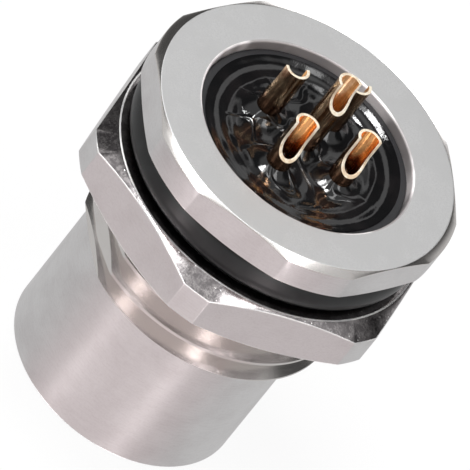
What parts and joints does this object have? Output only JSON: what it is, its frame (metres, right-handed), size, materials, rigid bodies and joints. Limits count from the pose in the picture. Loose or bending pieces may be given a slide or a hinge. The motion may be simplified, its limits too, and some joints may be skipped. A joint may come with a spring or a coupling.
{
  "type": "m12 connector",
  "caption": "Panel-mount circular receptacle with a hexagonal flange, threaded neck, seal ring, hex nut and scooped solder cups set in potting.",
  "frame": {"origin": "centre of the sleeve's rim, where the mating plug enters", "axes": "+Z along the axis from the mating end to the solder cups; the keying flat on the neck and the coding slot in the boss face -Y"},
  "size_m": [0.0194, 0.021, 0.0258],
  "materials": {
    "nickel": "satin nickel plate on brass",
    "nut_nickel": "nickel plate on brass, rough at the chamfers",
    "seal_rubber": "satin moulded rubber",
    "carrier_plastic": "satin moulded plastic",
    "epoxy": "glossy cast epoxy",
    "gold": "gold plate"
  },
  "bodies": {
    "receptacle": {"housing": "nickel", "panel_seal": "seal_rubber", "contact_carrier": "carrier_plastic", "potting": "epoxy", "contact_1": "gold", "contact_2": "gold", "contact_3": "gold", "contact_4": "gold", "contact_5": "gold"},
    "nut": {"panel_nut": "nut_nickel"}
  },
  "joints": [
    {"name": "nut_travel", "type": "slide", "parent": "receptacle", "child": "nut", "axis": [0, 0, 1], "range_m": [-0.0075, 0]}
  ]
}
